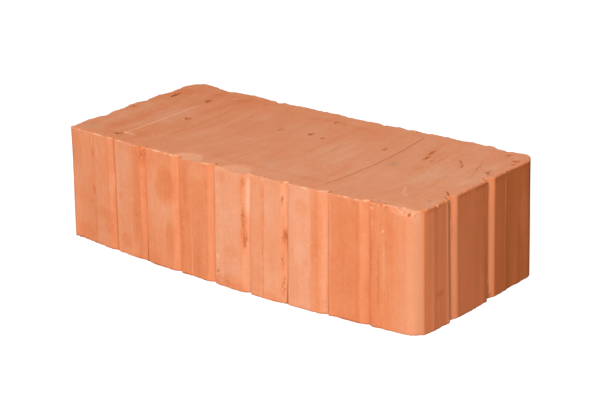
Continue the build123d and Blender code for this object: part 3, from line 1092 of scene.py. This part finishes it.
def fired_clay():
    """Fired clay: drifting orange and pink tones, die lines, drag streaks, grain and dark pits, with some
    shade and highlights painted in.
    """
    s = Shading(bpy.data.materials.new("fired_clay"))
    cut, clay_tone, clay_grain, clay_torn, pale_clay_and_highlight, clay_grey, dark = (
        s.add("Attribute", attribute_name="clay_" + name).outputs["Fac"]
        for name in ("cut", "tone", "grain", "torn", "pale", "grey", "dark")
    )
    place = s.add("TexCoord").outputs["Object"]
    x, y, z = s.add("SeparateXYZ", {"Vector": place}).outputs
    bow = s.times(s.times(y, y), drag_bow / MM)
    across = s.plus(s.plus(x, s.times(y, drag_slant)), bow)
    along_drag = s.add("CombineXYZ", {"X": across, "Y": y, "Z": z}).outputs[0]

    clouds = s.noise(place, (22, 22, 22))
    patches = s.noise(place, (6, 6, 7), detail=1)
    mottle = s.noise(place, (2.2, 2.2, 2.6), detail=1)
    grain = s.noise(place, (0.8, 0.8, 0.9), roughness=0.7)
    die_lines = s.noise(place, (1, 1, 60), detail=3, roughness=0.7)
    drag = s.noise(along_drag, (2.6, 34, 8), detail=4, roughness=0.75)
    lines = s.add("Mix", {0: cut, 2: die_lines, 3: drag}, data_type="FLOAT").outputs[0]
    drift = s.times(clouds, 0.16)
    for field, strength in (
        (patches, 0.15), (mottle, 0.16), (grain, 0.18), (lines, s.scale(cut, 0, 1, 0.2, 0.27)),
    ):
        drift = s.plus(drift, s.times(field, strength))
    tone = s.plus(clay_tone, s.times(drift, clay_grain))
    shades = (burnt_orange, deep_orange, clay_orange, pale_pink, chalky_pink)
    colour = s.shades(s.scale(tone, -2, 2), shades)

    scratches = s.noise(along_drag, (0.9, 15, 8), detail=3, roughness=0.8)
    colour = s.blend(s.times(s.scale(scratches, 0.25, 0.95, 0, 0.4), cut), colour, deep_orange)
    pores = s.noise(place, (0.7, 0.7, 0.8), roughness=0.8)
    colour = s.blend(s.times(s.scale(pores, 0, 1.1, 0, 0.2), clay_grain), colour, torn_brown)
    pale_flecks = s.noise(place, (0.8, 0.8, 1.7), roughness=0.8)
    pale_flecks = s.times(s.scale(pale_flecks, 0.15, 0.8, 0, 0.35), s.scale(clay_torn, 0.2, 0.7))
    colour = s.blend(pale_flecks, colour, pale_dust_and_highlight)
    flecks = s.noise(place, (0.7, 0.7, 1.2), detail=3, roughness=0.8)
    torn = s.scale(s.plus(clay_torn, s.times(flecks, 0.9)), 0.75, 1.1)
    torn = s.times(torn, s.scale(clay_torn, 0.02, 0.15))
    colour = s.blend(torn, colour, torn_brown)
    colour = s.blend(s.times(clay_grey, 0.6), colour, smudge_grey)
    # The pale mask holds pale marks, specks and worn clay, and also painted highlights along the upper rim
    # and the right end's burrs
    pale = s.scale(s.plus(pale_clay_and_highlight, s.times(flecks, 0.15)), 0.1, 0.9)
    colour = s.blend(s.times(pale, s.scale(pale_clay_and_highlight, 0.02, 0.1)), colour, pale_dust_and_highlight)
    # The dark mask holds pits, cracks and chips, and also painted shade in the grooves, along the lower
    # arris, in chips and at the foot of the right end's second groove
    dark_mark_and_shade = s.blend(dark, torn_brown, pit_and_shade_brown)
    colour = s.blend(s.times(dark, 0.9, clamped=True), colour, dark_mark_and_shade)

    fine = s.plus(s.times(grain, 0.45), s.times(mottle, 0.5))
    relief = s.plus(s.times(lines, 0.9), s.plus(fine, s.times(torn, -2)))
    relief = s.times(relief, clay_grain)
    bump = s.add("Bump", {"Height": relief, "Strength": 0.5, "Distance": 0.12 * MM})
    roughness = s.plus(0.9, s.times(clouds, 0.04))
    gloss = s.times(s.scale(clay_grain, 0.3, 1, 0.03, 0.1), s.scale(dark, 0, 0.6, 1, 0))
    shader = s.add("BsdfPrincipled", {
        "Base Color": colour, "Roughness": roughness, "Normal": bump.outputs[0], "Specular IOR Level": gloss,
    })
    s.add("OutputMaterial", {"Surface": shader.outputs[0]})
    return s.owner


def seen_directly(shading):
    """1 for rays that show a background: from the camera, off gloss and through glass."""
    path = shading.add("LightPath").outputs
    seen = shading.plus(path["Is Camera Ray"], path["Is Glossy Ray"], clamped=True)
    return shading.plus(seen, path["Is Transmission Ray"], clamped=True)


def studio_floor():
    """A pale floor that looks white where it is lit and keeps a soft shadow."""
    grey, glow_strength, half = 0.34, 0.84, 4.0
    s = Shading(bpy.data.materials.new("studio_floor"))
    body = s.add("BsdfDiffuse", {"Color": (grey, grey, grey, 1)})
    glow = s.add("Emission", {"Color": (1, 1, 1, 1), "Strength": s.times(seen_directly(s), glow_strength)})
    both = s.add("AddShader", {0: body.outputs[0], 1: glow.outputs[0]})
    s.add("OutputMaterial", {"Surface": both.outputs[0]})
    mesh = bpy.data.meshes.new("floor")
    corners = [(-half, -half, 0), (half, -half, 0), (half, half, 0), (-half, half, 0)]
    mesh.from_pydata(corners, [], [(0, 1, 2, 3)])
    mesh.materials.append(s.owner)
    floor = new_object("floor", mesh)


def studio_world():
    """A white background, and a dimmer even light on the brick."""
    ambient = 0.22
    s = Shading(bpy.data.worlds.new("studio"))
    background = s.add("Background", {"Strength": s.scale(seen_directly(s), 0, 1, ambient, 1)})
    s.add("OutputWorld", {"Surface": background.outputs[0]})
    bpy.context.scene.world = s.owner


def softbox(name, azimuth, elevation, distance, size, level, shine=True):
    """A square lamp aimed at the brick. Azimuth 0 stands in front, 90 at the right. At level 1
    a white card that faces the lamp looks white. Without shine it leaves no glare."""
    a, e = math.radians(azimuth), math.radians(elevation)
    towards = Vector((math.sin(a) * math.cos(e), -math.cos(a) * math.cos(e), math.sin(e)))
    lamp = bpy.data.lights.new(name, "AREA")
    lamp.shape = "SQUARE"
    lamp.size = size
    lamp.energy = level * math.pi**2 * distance**2
    holder = new_object(name, lamp)
    holder.location = Vector((0, 0, height / 2 * MM)) + towards * distance
    holder.rotation_mode = "QUATERNION"
    holder.rotation_quaternion = towards.to_track_quat("Z", "Y")
    holder.visible_glossy = shine


def photo_camera():
    """The camera at the photograph's viewpoint, solved from the brick's corners and edges."""
    place = Vector((512.84, -640.06, 318.79)) * MM
    azimuth, from_above, roll = (math.radians(angle) for angle in (38.267, 90 - 19.552, -0.410))
    picture_width, focal_pixels, sensor_width = 612, 1726.1, 36.0
    data = bpy.data.cameras.new("photo_camera")
    data.sensor_width = sensor_width
    data.lens = focal_pixels * sensor_width / picture_width
    data.clip_start, data.clip_end = 0.05, 20
    camera = new_object("photo_camera", data)
    aim = Matrix.Rotation(azimuth, 4, "Z") @ Matrix.Rotation(from_above, 4, "X")
    camera.matrix_world = Matrix.Translation(place) @ aim @ Matrix.Rotation(roll, 4, "Z")
    bpy.context.scene.camera = camera


photo_camera()
bpy.context.scene.view_settings.view_transform = "Standard"
studio_world()
studio_floor()
softbox("key", azimuth=27, elevation=33, distance=3.0, size=0.9, level=1.165)
softbox("fill", azimuth=220, elevation=12, distance=3.0, size=1.0, level=0.42, shine=False)

brick = build_brick()
brick.data.materials.append(fired_clay())
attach(brick, "root")
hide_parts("brick")
